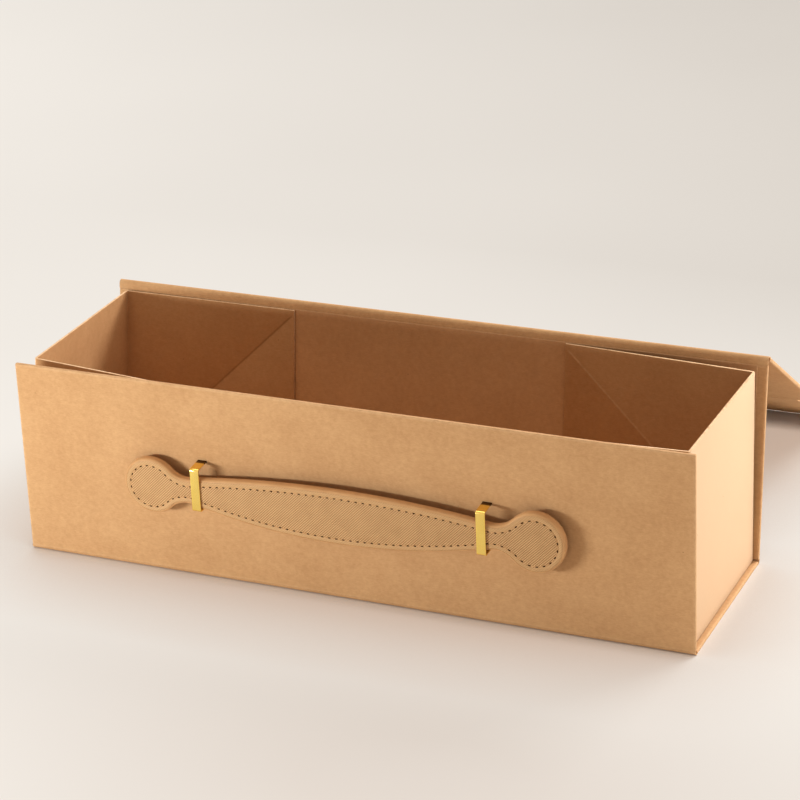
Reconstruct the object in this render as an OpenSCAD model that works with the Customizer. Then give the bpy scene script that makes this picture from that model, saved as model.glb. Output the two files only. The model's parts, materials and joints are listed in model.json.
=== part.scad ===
// Collapsible kraft gift box for one bottle. It lies open on its base, with the lid
// folded back behind it and the closing flap's edge on the table.
// X runs along the case, Y from the handle to the lid, Z up. The origin is the middle
// of the base's underside.

/* [Case] */
// Length of the case along its long side
case_l = 350; // [300:1:420]
// Depth of the case outside, at its base
case_d = 110; // [95:1:135]
// Height of the front panel, from the table up its own slope
case_h = 106; // [96:1:125]
// Outward lean of the front panel, in degrees
front_lean = 3.8; // [0:0.1:6]
// Outward lean of the back panel, in degrees
back_lean = 4; // [0:0.1:6]

/* [Boards and papers] */
// Thickness of a board with its paper wrap
board_t = 2; // [1.9:0.1:3]
// Rounding of a wrapped board's long edges
board_edge_r = 0.5; // [0.2:0.1:0.8]
// Thickness of the lining paper
liner_t = 0.3; // [0.2:0.1:0.5]
// Margin of bare wrap beside and above a lining
liner_margin = 5; // [3:0.5:8]
// Thickness of a paper hinge, wrap and lining glued together
hinge_t = 0.5; // [0.3:0.1:0.8]
// Slack of the wrap round the corners under the front and back panels
corner_slack = 0.6; // [0.5:0.1:1.5]
// Slack between a board's edge and a lid hinge, over the board's thickness
hinge_slack = 0.4; // [0.3:0.1:1.5]
// Distance of the linings' edges from the boards' edges beside the closing flap's hinge
liner_step = 0.6; // [0.5:0.1:2]

/* [Lid] */
// Angle of the open lid below level, in degrees
lid_drop = 32; // [26:0.5:36]
// Gap between the shut lid's lining and the end walls
lid_seat_gap = 0.3; // [0.2:0.1:1]
// Gap between the tucked flap and the wings
tuck_gap = 0.8; // [0.5:0.1:2]
// Gap between the tucked flap's edge and the floor flanges
foot_gap = 1; // [0.5:0.1:4]
// Gap between an end of the tucked flap and an end wall
flap_end_gap = 3; // [1:0.5:10]

/* [End gussets] */
// Thickness of the gusset board
gusset_t = 1.3; // [0.8:0.1:1.6]
// Distance of an end wall's foot in from the case's end
end_inset = 2.6; // [2:0.2:8]
// Inward lean of an end wall, as a distance at its top
wall_lean = 2.4; // [0:0.2:5]
// Distance from a wing's top down to the end of its diagonal crease
crease_drop = 1.6; // [1:0.2:20]
// Width of the flange glued to the floor
flange_w = 18; // [10:1:30]
// Distance of the flange in from the front and back lining
flange_inset = 4; // [2:0.5:10]

/* [Handle strap] */
// Length of the strap over its round ends
strap_l = 228.8; // [215:0.2:250]
// Diameter of a round end
bulb_d = 30; // [26:0.2:34]
// Width of the strap where a loop holds it
waist_w = 15; // [12:0.5:16]
// Reach of the strap's belly above its centre line
belly_up = 13; // [11:0.2:16]
// Reach of the strap's belly below its centre line
belly_down = 16.2; // [12:0.2:18]
// Radius that blends the waist into a round end
neck_r = 12; // [8:1:16]
// Height of the strap's centre line on the front panel
strap_z = 52; // [50:0.2:54]
// Sideways place of the handle on the front panel
handle_x = 0; // [-15:1:15]
// Thickness of the strap's face
strap_face_t = 1.2; // [1:0.1:1.4]
// Thickness of the strap's core
strap_core_t = 2.2; // [1.8:0.1:2.3]
// Thickness of the strap's backing
strap_back_t = 1; // [0.8:0.1:1.2]
// Gap between the middle of the bowed strap and the panel
strap_gap = 5.8; // [5.4:0.1:5.9]
// Gap between a strap's end and the panel
strap_end_gap = 3.2; // [2.5:0.1:3.4]

/* [Loops] */
// Distance between the two loops' centre lines
loop_pitch = 148.4; // [144:0.2:152]
// Width of a loop's metal strip
loop_w = 4.7; // [4:0.1:6]
// Thickness of a loop's metal strip
loop_t = 0.8; // [0.6:0.1:1]
// Height of a loop outside
loop_h = 23.8; // [22:0.2:26]
// Distance that a loop stands off the panel
loop_reach = 10.3; // [10.2:0.1:12]
// Outer radius of a loop's bends
loop_bend_r = 1.4; // [1:0.1:2]
// Gap between the strap's waist and a loop's lower leg
strap_seat_gap = 1.3; // [1.3:0.1:1.6]
// Length of a loop's prong behind the panel
prong_l = 5; // [3:0.5:8]
// Clearance round a loop's leg and prong in the board
slit_gap = 0.15; // [0.1:0.05:0.3]

/* [Magnets] */
// Diameter of a magnet disc
magnet_d = 10; // [8:1:14]
// Thickness of a magnet disc
magnet_t = 1.5; // [1:0.1:1.6]
// Distance between the two magnets of a board
magnet_pitch = 100; // [60:1:115]
// Distance of a magnet below the case's upper edge
magnet_drop = 25; // [15:1:28]
// Clearance round a magnet in its pocket
pocket_gap = 0.1; // [0.05:0.05:0.2]

/* [Hidden] */

kraft = "#c89a64";
kraft_shade = "#b98a56";
lining = "#bd8f5c";
strap_tan = "#b5926a";
gold = "#e0b445";
steel = "#c8c8cc";

corner_r = board_t + corner_slack;
hinge_gap = board_t + hinge_slack;
floor_top = board_t + liner_t;
edge_facets = 24;
bend_facets = 14;
round_facets = 48;
disc_facets = 64;
arc_facets = 360;
bow_facets = 720;

// Centres, as [y, z], of the paper corners under the front and back panels
front_fold = [corner_r - case_d / 2, corner_r];
back_fold = [case_d / 2 - corner_r, corner_r];

// A point [y, z] turned about another one
function turned(p, centre, angle) = centre + [
    (p[0] - centre[0]) * cos(angle) - (p[1] - centre[1]) * sin(angle),
    (p[0] - centre[0]) * sin(angle) + (p[1] - centre[1]) * cos(angle)
];

// Hinge lines, as [y, z], of the lid and of the closing flap at rest
lid_axis = turned([case_d / 2, case_h], back_fold, -back_lean);

// Faces of the leaning linings at a height above the table
inner_offset = corner_r - floor_top;
function front_y(z) = front_fold[0] - inner_offset / cos(front_lean) - (z - corner_r) * tan(front_lean);
function back_y(z) = back_fold[0] + inner_offset / cos(back_lean) + (z - corner_r) * tan(back_lean);

// End walls and wings, under the shut lid
wall_x = case_l / 2 - end_inset;
wall_top = lid_axis[1] - board_t - liner_t - lid_seat_gap;
wall_h = wall_top - floor_top;
wing_w = wall_h - crease_drop;
crease_z = floor_top + wing_w;

// The flap hangs just inside the wings when the lid is shut
tucked_y = front_y(floor_top) + gusset_t + tuck_gap;
lid_l = lid_axis[0] - tucked_y;
flap_l = lid_axis[1] - floor_top - gusset_t - foot_gap;
flap_w = 2 * (wall_x - wall_lean - gusset_t - flap_end_gap);
flap_axis = lid_axis + lid_l * [cos(lid_drop), -sin(lid_drop)];
flap_drop = asin(flap_axis[1] / flap_l);

front_face = -case_d / 2;
loop_low = strap_z - waist_w / 2 - strap_seat_gap - loop_t;
loop_mid = loop_low + loop_h / 2;

// Puts upright things on the leaning front panel
module on_front() {
    translate([0, front_fold[0], front_fold[1]])
        rotate([front_lean, 0, 0])
            translate([0, -front_fold[0], -front_fold[1]])
                children();
}

// Puts upright things on the leaning back panel
module on_back() {
    translate([0, back_fold[0], back_fold[1]])
        rotate([-back_lean, 0, 0])
            translate([0, -back_fold[0], -back_fold[1]])
                children();
}

// Puts flat things, with Y away from the hinge line, on the open lid
module on_lid() {
    translate([0, lid_axis[0], lid_axis[1]]) rotate([-lid_drop, 0, 0]) children();
}

// Puts flat things, with Y away from the crease, on the closing flap
module on_flap() {
    translate([0, flap_axis[0], flap_axis[1]]) rotate([-flap_drop, 0, 0]) children();
}

// A profile in Y and Z drawn out along X
module along_x(length) {
    rotate([90, 0, 90]) linear_extrude(length, center = true) children();
}

// Rectangle with round corners, built of squares and true circles
module round_rect(w, h, r) {
    translate([r, 0]) square([w - 2 * r, h]);
    translate([0, r]) square([w, h - 2 * r]);
    for (x = [r, w - r], y = [r, h - r]) translate([x, y]) circle(r, $fn = edge_facets);
}

// A wrapped board lying flat, with Y from its near edge and Z up from its outer face
module flat_board(length, width) {
    along_x(length) round_rect(width, board_t, board_edge_r);
}

// A sheet of paper lying flat, with Y from its near edge
module flat_sheet(length, width, thickness) {
    translate([-length / 2, 0, 0]) cube([length, width, thickness]);
}

// A paper tube along X between two angles round a centre [y, z]
module paper_bend(centre, outer_r, from, to) {
    translate([0, centre[0], centre[1]])
        rotate([90, 0, 90])
            rotate([0, 0, from])
                rotate_extrude(angle = to - from, $fn = round_facets)
                    translate([outer_r - hinge_t, -case_l / 2])
                        square([hinge_t, case_l]);
}

// A plate between a flat outline and the same outline moved by a shift
module plate(outline, shift) {
    n = len(outline);
    facing = cross(outline[1] - outline[0], outline[2] - outline[0]) * shift;
    ring = facing > 0 ? outline : [for (i = [n - 1:-1:0]) outline[i]];
    polyhedron(
        points = concat(ring, [for (p = ring) p + shift]),
        faces = concat(
            [[for (i = [0:n - 1]) i]],
            [[for (i = [n - 1:-1:0]) n + i]],
            [for (i = [0:n - 1]) [i, n + i, n + (i + 1) % n, (i + 1) % n]]
        )
    );
}

module front_panel() {
    color(kraft) on_front() difference() {
        translate([0, front_face + board_t, corner_r])
            rotate([90, 0, 0]) flat_board(case_l, case_h - corner_r);
        for (side = [-1, 1]) {
            translate([handle_x + side * loop_pitch / 2, front_face, 0]) leg_slits();
            translate([side * magnet_pitch / 2, front_face + board_t, case_h - magnet_drop])
                rotate([90, 0, 0]) magnet_pocket();
        }
    }
}

// Slits for a loop's two legs, each with a recess for its prong behind the board
module leg_slits() {
    slit_w = loop_w + 2 * slit_gap;
    leg_h = loop_t + 2 * slit_gap;
    for (flip = [0, 1]) translate([0, 0, loop_mid]) mirror([0, 0, flip]) {
        translate([-slit_w / 2, -1, loop_h / 2 - loop_t - slit_gap]) cube([slit_w, board_t + 2, leg_h]);
        translate([-slit_w / 2, board_t - loop_t - slit_gap, loop_h / 2 - loop_t - slit_gap])
            cube([slit_w, loop_t + slit_gap + 1, prong_l + leg_h]);
    }
}

// Round pocket that opens at Z = 0 and goes up into a board's inner face
module magnet_pocket() {
    translate([0, 0, -1]) cylinder(d = magnet_d + 2 * pocket_gap, h = magnet_t + pocket_gap + 1, $fn = disc_facets);
}

module base_panel() {
    color(kraft) translate([0, front_fold[0], 0]) flat_board(case_l, back_fold[0] - front_fold[0]);
}

module back_panel() {
    color(kraft) on_back() translate([0, case_d / 2, corner_r])
        rotate([90, 0, 0]) flat_board(case_l, case_h - hinge_gap - corner_r);
}

module lid_panel() {
    color(kraft) on_lid() translate([0, hinge_gap, 0]) flat_board(case_l, lid_l - 2 * hinge_gap);
}

module closing_flap() {
    color(kraft) on_flap() difference() {
        translate([0, hinge_gap, 0]) flat_board(flap_w, flap_l - hinge_gap);
        for (side = [-1, 1]) translate([side * magnet_pitch / 2, magnet_drop, board_t])
            rotate([180, 0, 0]) magnet_pocket();
    }
}

module front_hinge() {
    color(kraft_shade) paper_bend(front_fold, corner_r, 180 + front_lean, 270);
}

module rear_hinge() {
    color(kraft_shade) paper_bend(back_fold, corner_r, 270, 360 - back_lean);
}

// Line, as points [y, z], along one face of the lid hinge: up the back panel, round the
// hinge line at a radius, and down the lid
function hinge_line(r) = concat(
    [turned([case_d / 2 - r, case_h - hinge_gap], back_fold, -back_lean)],
    [for (i = [0:bend_facets]) let (a = 180 - back_lean - i / bend_facets * (90 - back_lean + lid_drop))
        lid_axis + r * [cos(a), sin(a)]],
    [lid_axis + hinge_gap * [cos(lid_drop), -sin(lid_drop)] + r * [sin(lid_drop), cos(lid_drop)]]
);

// Paper bridge from the back panel's lining over the hinge line to the lid's lining
module lid_hinge() {
    near = hinge_line(board_t - hinge_t);
    far = hinge_line(board_t);
    color(lining) along_x(case_l)
        polygon(concat(far, [for (i = [len(near) - 1:-1:0]) near[i]]));
}

// Paper in the groove between the lid and the closing flap
module flap_hinge() {
    color(kraft_shade) {
        on_lid() translate([0, lid_l - hinge_gap, 0]) flat_sheet(flap_w, hinge_gap, hinge_t);
        on_flap() flat_sheet(flap_w, hinge_gap, hinge_t);
    }
}

module front_liner() {
    color(lining) on_front() translate([0, front_face + floor_top, corner_r])
        rotate([90, 0, 0]) flat_sheet(case_l - 2 * liner_margin, case_h - liner_margin - corner_r, liner_t);
}

module base_liner() {
    color(lining) translate([0, front_fold[0], board_t])
        flat_sheet(case_l - 2 * liner_margin, back_fold[0] - front_fold[0], liner_t);
}

module back_liner() {
    color(lining) on_back() translate([0, case_d / 2 - board_t, corner_r])
        rotate([90, 0, 0]) flat_sheet(case_l - 2 * liner_margin, case_h - hinge_gap - corner_r, liner_t);
}

module lid_liner() {
    color(lining) on_lid() translate([0, hinge_gap, board_t])
        flat_sheet(case_l - 2 * liner_margin, lid_l - 2 * hinge_gap - liner_step, liner_t);
}

module flap_liner() {
    color(lining) on_flap() translate([0, hinge_gap + liner_step, board_t])
        flat_sheet(flap_w - 2 * liner_margin, flap_l - hinge_gap - liner_step - liner_margin, liner_t);
}

// One wing of a gusset: its lower facet is glued to the leaning panel, and its upper
// facet turns in at the diagonal crease to meet the end wall's upright edge
module wing(low_y, crease_y, inward) {
    edge_x = wall_x - wing_w;
    corner = [wall_x, low_y, floor_top];
    crease_end = [edge_x, crease_y, crease_z];
    edge_turn = (crease_y - low_y) / (wing_w * (1 - wall_lean / wall_h));
    edge_top = [edge_x, low_y + edge_turn * (wing_w - wall_lean), wall_top];
    shift = [0, inward * gusset_t, 0];
    plate([corner, [edge_x, low_y, floor_top], crease_end], shift);
    plate([corner, crease_end, edge_top, [wall_x - wall_lean, low_y, wall_top]], shift);
}

// An end wall with its floor flange and its two wings, folded from one sheet
module gusset() {
    front_low = front_y(floor_top);
    back_low = back_y(floor_top);
    plate([
        [wall_x, front_low, floor_top], [wall_x, back_low, floor_top],
        [wall_x - wall_lean, back_low, wall_top], [wall_x - wall_lean, front_low, wall_top]
    ], [-gusset_t, 0, 0]);
    translate([wall_x - flange_w, front_low + flange_inset, floor_top])
        cube([flange_w, back_low - front_low - 2 * flange_inset, gusset_t]);
    wing(front_low, front_y(crease_z), 1);
    wing(back_low, back_y(crease_z), -1);
}

module left_gusset() {
    color(kraft_shade) mirror([1, 0, 0]) gusset();
}

module right_gusset() {
    color(kraft_shade) gusset();
}

// Radius of an arc from its rise over half its span
function arc_radius(rise, half_span) = (half_span * half_span + rise * rise) / (2 * rise);

// Outline of the strap: a belly between two arcs, narrowing to a waist at each loop,
// and a round end beyond it
module strap_outline() {
    half_waist = waist_w / 2;
    up_r = arc_radius(belly_up - half_waist, loop_pitch / 2);
    down_r = arc_radius(belly_down - half_waist, loop_pitch / 2);
    offset(r = -neck_r) offset(r = neck_r, $fn = round_facets) {
        intersection() {
            translate([0, belly_up - up_r]) circle(up_r, $fn = arc_facets);
            translate([0, down_r - belly_down]) circle(down_r, $fn = arc_facets);
        }
        for (side = [-1, 1]) translate([side * (strap_l - bulb_d) / 2, 0]) circle(d = bulb_d, $fn = disc_facets);
    }
}

// One layer of the strap, bowed away from the panel between its ends
module strap_layer(from, thickness) {
    bow_r = arc_radius(strap_gap - strap_end_gap, strap_l / 2);
    centre_y = front_face - strap_gap + bow_r;
    on_front() translate([handle_x, 0, strap_z]) intersection() {
        rotate([90, 0, 0]) linear_extrude(case_d) strap_outline();
        translate([0, centre_y, 0]) difference() {
            cylinder(r = bow_r + from + thickness, h = 2 * bulb_d, center = true, $fn = bow_facets);
            cylinder(r = bow_r + from, h = 3 * bulb_d, center = true, $fn = bow_facets);
        }
    }
}

module strap_backing() {
    color(strap_tan) strap_layer(0, strap_back_t);
}

module strap_core() {
    color(strap_tan) strap_layer(strap_back_t, strap_core_t);
}

module strap_face() {
    color(strap_tan) strap_layer(strap_back_t + strap_core_t, strap_face_t);
}

// Metal strip bent round the strap, with its legs through the panel and its prongs
// turned flat behind it
module loop() {
    depth = loop_reach + board_t;
    along_x(loop_w) {
        difference() {
            round_rect(depth + loop_bend_r, loop_h, loop_bend_r);
            translate([loop_t, loop_t])
                round_rect(depth + loop_bend_r, loop_h - 2 * loop_t, loop_bend_r - loop_t);
            translate([depth, -1]) square([depth, loop_h + 2]);
        }
        translate([depth - loop_t, -prong_l]) square([loop_t, prong_l + loop_t]);
        translate([depth - loop_t, loop_h - loop_t]) square([loop_t, prong_l + loop_t]);
    }
}

module place_loop(side) {
    on_front() translate([handle_x + side * loop_pitch / 2, front_face - loop_reach, loop_low]) loop();
}

module left_loop() {
    color(gold) place_loop(-1);
}

module right_loop() {
    color(gold) place_loop(1);
}

module magnet() {
    cylinder(d = magnet_d, h = magnet_t, $fn = disc_facets);
}

module panel_magnet(side) {
    color(steel) on_front()
        translate([side * magnet_pitch / 2, front_face + board_t, case_h - magnet_drop])
            rotate([90, 0, 0]) magnet();
}

module flap_magnet(side) {
    color(steel) on_flap()
        translate([side * magnet_pitch / 2, magnet_drop, board_t]) rotate([180, 0, 0]) magnet();
}

module left_panel_magnet() { panel_magnet(-1); }
module right_panel_magnet() { panel_magnet(1); }
module left_flap_magnet() { flap_magnet(-1); }
module right_flap_magnet() { flap_magnet(1); }

front_panel();
base_panel();
back_panel();
lid_panel();
closing_flap();
front_hinge();
rear_hinge();
lid_hinge();
flap_hinge();
front_liner();
base_liner();
back_liner();
lid_liner();
flap_liner();
left_gusset();
right_gusset();
strap_face();
strap_core();
strap_backing();
left_loop();
right_loop();
left_panel_magnet();
right_panel_magnet();
left_flap_magnet();
right_flap_magnet();
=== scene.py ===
# Open kraft gift box for one bottle: wrapped boards, folded end gussets, paper hinges,
# and a stitched strap handle held by two gold loops.
import json
import math

import bmesh
import bpy
from mathutils import Matrix, Vector


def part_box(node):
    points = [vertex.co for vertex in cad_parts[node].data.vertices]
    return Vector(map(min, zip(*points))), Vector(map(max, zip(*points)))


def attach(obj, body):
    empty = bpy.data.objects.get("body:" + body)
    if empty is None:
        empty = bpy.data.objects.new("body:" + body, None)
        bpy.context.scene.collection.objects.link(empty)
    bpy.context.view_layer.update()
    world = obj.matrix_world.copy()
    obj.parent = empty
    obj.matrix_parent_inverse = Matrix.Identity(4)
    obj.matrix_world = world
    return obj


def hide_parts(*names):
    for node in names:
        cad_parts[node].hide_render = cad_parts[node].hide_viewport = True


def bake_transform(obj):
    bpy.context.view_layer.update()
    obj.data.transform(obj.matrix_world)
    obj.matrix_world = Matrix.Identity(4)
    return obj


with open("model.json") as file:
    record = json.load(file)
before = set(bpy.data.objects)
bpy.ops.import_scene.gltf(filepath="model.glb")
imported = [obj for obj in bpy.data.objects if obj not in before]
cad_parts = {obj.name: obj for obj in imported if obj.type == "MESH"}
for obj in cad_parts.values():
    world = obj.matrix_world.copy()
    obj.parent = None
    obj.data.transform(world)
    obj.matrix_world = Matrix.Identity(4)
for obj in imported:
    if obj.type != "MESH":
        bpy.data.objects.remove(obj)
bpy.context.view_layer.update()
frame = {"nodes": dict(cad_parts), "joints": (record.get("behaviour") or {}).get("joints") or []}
print("frame loaded")

mm = 0.001
tiny = 0.02 * mm


def only(piece):
    if bpy.context.mode != "OBJECT":
        bpy.ops.object.mode_set(mode="OBJECT")
    bpy.ops.object.select_all(action="DESELECT")
    piece.select_set(True)
    bpy.context.view_layer.objects.active = piece
    return piece


def named(name):
    piece = bpy.context.object
    piece.name = piece.data.name = name
    bpy.ops.object.transform_apply(location=True, rotation=True, scale=True)
    return piece


# An upright or flat rectangle, by its middle, its turn and its two sizes
def addPlane(name, middle, turn, width, height):
    bpy.ops.object.select_all(action="DESELECT")
    bpy.ops.mesh.primitive_plane_add(size=1, location=middle, rotation=turn)
    bpy.context.object.scale = (width, height, 1)
    return named(name)


def addCube(name, low, high):
    bpy.ops.object.select_all(action="DESELECT")
    low, high = Vector(low), Vector(high)
    bpy.ops.mesh.primitive_cube_add(size=1, location=(low + high) / 2, scale=high - low)
    return named(name)


# In edit mode, selects what passes the test: a vertex by its place, an edge by its middle
# and direction, a face by its middle and normal
def pick(piece, kind, test):
    only(piece)
    bpy.ops.object.mode_set(mode="EDIT")
    bpy.ops.mesh.select_mode(type=kind)
    bpy.ops.mesh.select_all(action="DESELECT")
    mesh = bmesh.from_edit_mesh(piece.data)
    if kind == "VERT":
        for vertex in mesh.verts:
            vertex.select = test(vertex.co)
    elif kind == "EDGE":
        for edge in mesh.edges:
            a, b = edge.verts[0].co, edge.verts[1].co
            edge.select = test((a + b) / 2, (b - a).normalized())
    else:
        for face in mesh.faces:
            face.select = test(face.calc_center_median(), face.normal)
    mesh.select_flush_mode()
    bmesh.update_edit_mesh(piece.data)


# A grid of faces whose points are put in place by a function of u and v, from 0 to 1
def shapedGrid(name, across, along, place):
    bpy.ops.object.select_all(action="DESELECT")
    bpy.ops.mesh.primitive_grid_add(x_subdivisions=across, y_subdivisions=along, size=2)
    piece = named(name)
    for vertex in piece.data.vertices:
        vertex.co = place((vertex.co.x + 1) / 2, (vertex.co.y + 1) / 2)
    return piece


def finishWith(piece, kind, **settings):
    only(piece)
    bpy.ops.object.modifier_add(type=kind)
    modifier = piece.modifiers[-1]
    for key, value in settings.items():
        setattr(modifier, key, value)
    bpy.ops.object.modifier_apply(modifier=modifier.name)


def smooth(piece, degrees=40):
    only(piece)
    bpy.ops.object.shade_smooth_by_angle(angle=math.radians(degrees))


def outwards(piece):
    only(piece)
    bpy.ops.object.mode_set(mode="EDIT")
    bpy.ops.mesh.select_all(action="SELECT")
    bpy.ops.mesh.remove_doubles(threshold=tiny / 4)
    bpy.ops.mesh.normals_make_consistent(inside=False)
    bpy.ops.object.mode_set(mode="OBJECT")


# Writes a number from 0 to 1 on every vertex, for a material to read
def mark(piece, attribute, value):
    layer = piece.data.attributes.new(attribute, "FLOAT", "POINT")
    for index, vertex in enumerate(piece.data.vertices):
        layer.data[index].value = value(vertex.co)


# Turns a piece about X and moves it, so that its Y runs up a leaning panel
def put(piece, origin, degrees):
    only(piece)
    piece.rotation_euler.x = math.radians(degrees)
    piece.location = (0, origin[0], origin[1])
    bpy.ops.object.transform_apply(location=True, rotation=True, scale=True)
    return piece


def dress(piece, body, slot, material, *stoodFor):
    piece.data.materials.clear()
    piece.data.materials.append(material)
    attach(piece, body)
    if stoodFor:
        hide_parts(*stoodFor)
    return piece


def turned(y, z, centre, degrees):
    a = math.radians(degrees)
    dy, dz = y - centre[0], z - centre[1]
    return (centre[0] + dy * math.cos(a) - dz * math.sin(a), centre[1] + dy * math.sin(a) + dz * math.cos(a))


case = {
    "length": 350 * mm,
    "depth": 110 * mm,
    "height": 106 * mm,
    "frontLean": 3.8,
    "backLean": 4.0,
    "board": 2 * mm,
    "lining": 0.3 * mm,
    "margin": 5 * mm,
    "paper": 0.5 * mm,
    "foldRadius": 2.6 * mm,
    "hingeGap": 2.4 * mm,
    "liningStep": 0.6 * mm,
    "lidDrop": 32,
}
floorTop = case["board"] + case["lining"]
frontFold = (case["foldRadius"] - case["depth"] / 2, case["foldRadius"])
backFold = (-frontFold[0], frontFold[1])
joints = {joint["name"]: joint for joint in frame["joints"]}
lidAxis = joints["lid_hinge_turn"]["pos_m"][1:]
flapAxis = joints["flap_hinge_turn"]["pos_m"][1:]
lidLength = math.dist(lidAxis, flapAxis)
flapLow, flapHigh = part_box("closing_flap")
flapWidth = flapHigh.x - flapLow.x
flapLength = math.dist(flapAxis, (flapHigh.y, 0))
flapDrop = math.degrees(math.asin(flapAxis[1] / flapLength))


def onFront(y, z):
    return turned(y, z, frontFold, case["frontLean"])


def onBack(y, z):
    return turned(y, z, backFold, -case["backLean"])


def onArc(centre, radius, degrees):
    a = math.radians(degrees)
    return (centre[0] + radius * math.cos(a), centre[1] + radius * math.sin(a))


def tone(red, green, blue):
    levels = [c / 255 for c in (red, green, blue)]
    return tuple(c / 12.92 if c <= 0.04045 else ((c + 0.055) / 1.055) ** 2.4 for c in levels) + (1,)


def newMaterial(name, roughness, metallic=0.0, specular=0.5):
    material = bpy.data.materials.new(name)
    material.use_nodes = True
    shader = material.node_tree.nodes["Principled BSDF"]
    shader.inputs["Roughness"].default_value = roughness
    shader.inputs["Metallic"].default_value = metallic
    shader.inputs["Specular IOR Level"].default_value = specular
    return material, shader


# Adds a node; an input is given as a value or as another node's output
def node(tree, kind, inputs, **settings):
    made = tree.nodes.new("ShaderNode" + kind)
    for key, value in settings.items():
        setattr(made, key, value)
    for key, value in inputs.items():
        if isinstance(value, bpy.types.NodeSocket):
            tree.links.new(value, made.inputs[key])
        else:
            made.inputs[key].default_value = value
    return made


def noiseOf(tree, coords, size, detail=3.0, roughness=0.55):
    inputs = {"Vector": coords, "Scale": 1 / size, "Detail": detail, "Roughness": roughness}
    return node(tree, "TexNoise", inputs).outputs["Fac"]


def spread(tree, value, low, high, toLow=0.0, toHigh=1.0):
    inputs = {"Value": value, "From Min": low, "From Max": high, "To Min": toLow, "To Max": toHigh}
    return node(tree, "MapRange", inputs).outputs["Result"]


def clamped(tree, value):
    return node(tree, "Clamp", {"Value": value}).outputs[0]


def combine(tree, operation, a, b):
    return node(tree, "Math", {0: a, 1: b}, operation=operation).outputs[0]


def mixed(tree, factor, a, b):
    return node(tree, "Mix", {0: factor, 6: a, 7: b}, data_type="RGBA").outputs[2]


paper = {
    "wrap": tone(207, 162, 115),
    "wrapDark": tone(188, 142, 97),
    "lining": tone(206, 159, 114),
    "liningDark": tone(190, 143, 99),
    "gusset": tone(195, 147, 101),
    "gussetDark": tone(180, 132, 87),
    "bleached": tone(224, 190, 154),
    "edge": tone(244, 208, 166),
    "pressed": tone(120, 76, 42),
    "speck": tone(96, 60, 34),
    "blotchSize": 28 * mm,
    "mottleSize": 2.6 * mm,
    "fibreSize": 0.55 * mm,
    "speckCell": 9 * mm,
    "bump": 0.22,
    "crevice": 9 * mm,
    "along": 0.3,
    "rareSpeck": 0.62,
    "speckShare": 0.55,
    "pressedShare": 0.6,
}


# Kraft paper: soft blotches, mottling, fibres that run along the sheet, a few dark specks,
# and lighter edges where a piece is marked, rubbed wear that on the gusset is also painted
# highlight. A ridge crease gets a painted highlight and a groove crease a painted shade, and
# where asked, crevices get painted shade and the end wall's outside a painted highlight
def kraftPaper(name, light, dark, wearAndHighlight=0.15, crevice=0.0, bleached=0.0):
    material, shader = newMaterial(name, 0.85, specular=0.12)
    tree = material.node_tree
    coords = node(tree, "TexCoord", {}).outputs["Object"]
    stretched = node(tree, "Mapping", {"Vector": coords, "Scale": (paper["along"], 1, 1)}).outputs[0]
    blotch = noiseOf(tree, coords, paper["blotchSize"], 2)
    mottle = noiseOf(tree, coords, paper["mottleSize"], 4, 0.6)
    fibre = noiseOf(tree, stretched, paper["fibreSize"], 3, 0.65)
    share = combine(
        tree, "ADD", spread(tree, blotch, 0.3, 0.7, -0.22, 0.22), spread(tree, mottle, 0.3, 0.7, -0.25, 0.25))
    share = combine(tree, "ADD", share, spread(tree, fibre, 0.25, 0.75, 0.2, 0.8))
    share = clamped(tree, share)
    colour = mixed(tree, share, dark, light)
    if bleached:
        # painted highlight: a paler tone only where the sheet faces away from the box's middle, which is the
        # end wall's outside
        normal = node(tree, "NewGeometry", {}).outputs["True Normal"]
        facing = node(tree, "SeparateXYZ", {"Vector": normal}).outputs["X"]
        side = node(tree, "SeparateXYZ", {"Vector": coords}).outputs["X"]
        outside = spread(tree, combine(tree, "MULTIPLY", facing, side), 0.05, 0.1, 0, bleached)
        colour = mixed(tree, outside, colour, paper["bleached"])
    cells = node(tree, "TexVoronoi", {"Vector": coords, "Scale": 1 / paper["speckCell"]})
    near = spread(tree, cells.outputs["Distance"], 0.018, 0.045, 1, 0)
    chance = node(tree, "SeparateColor", {"Color": cells.outputs["Color"]}).outputs[0]
    rare = combine(tree, "GREATER_THAN", chance, paper["rareSpeck"])
    speck = combine(tree, "MULTIPLY", combine(tree, "MULTIPLY", near, rare), paper["speckShare"])
    colour = mixed(tree, speck, colour, paper["speck"])
    # lighter towards the edge tone where marked: rubbed wear, which on the gusset's top edges and ridge
    # creases is also painted highlight
    edge = node(tree, "Attribute", {}, attribute_name="edge").outputs["Fac"]
    rubbed = combine(tree, "MULTIPLY", edge, spread(tree, mottle, 0.3, 0.6, wearAndHighlight * 0.4, wearAndHighlight))
    colour = mixed(tree, clamped(tree, rubbed), colour, paper["edge"])
    # painted shade along a groove crease, where the mark is below 0
    pressed = clamped(tree, combine(tree, "MULTIPLY", edge, -paper["pressedShare"]))
    colour = mixed(tree, pressed, colour, paper["pressed"])
    # painted shade: darker towards the shade tone in crevices, corners and contacts that ambient occlusion
    # finds
    if crevice:
        openness = node(tree, "AmbientOcclusion", {"Distance": paper["crevice"]}, samples=6).outputs["AO"]
        colour = mixed(tree, spread(tree, openness, 0, 0.85, crevice, 0), colour, paper["pressed"])
    tree.links.new(colour, shader.inputs["Base Color"])
    fibres = combine(tree, "MULTIPLY", fibre, 0.6)
    height = combine(tree, "ADD", fibres, combine(tree, "MULTIPLY", mottle, 0.9))
    bump = node(tree, "Bump", {"Height": height, "Strength": paper["bump"], "Distance": 0.25 * mm})
    tree.links.new(bump.outputs[0], shader.inputs["Normal"])
    return material


kraftWrap = kraftPaper("kraftWrap", paper["wrap"], paper["wrapDark"])
kraftLining = kraftPaper("kraftLining", paper["lining"], paper["liningDark"], crevice=0.6)
gussetCard = kraftPaper(
    "gussetCard", paper["gusset"], paper["gussetDark"], wearAndHighlight=0.9, crevice=0.75, bleached=0.8)

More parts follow.
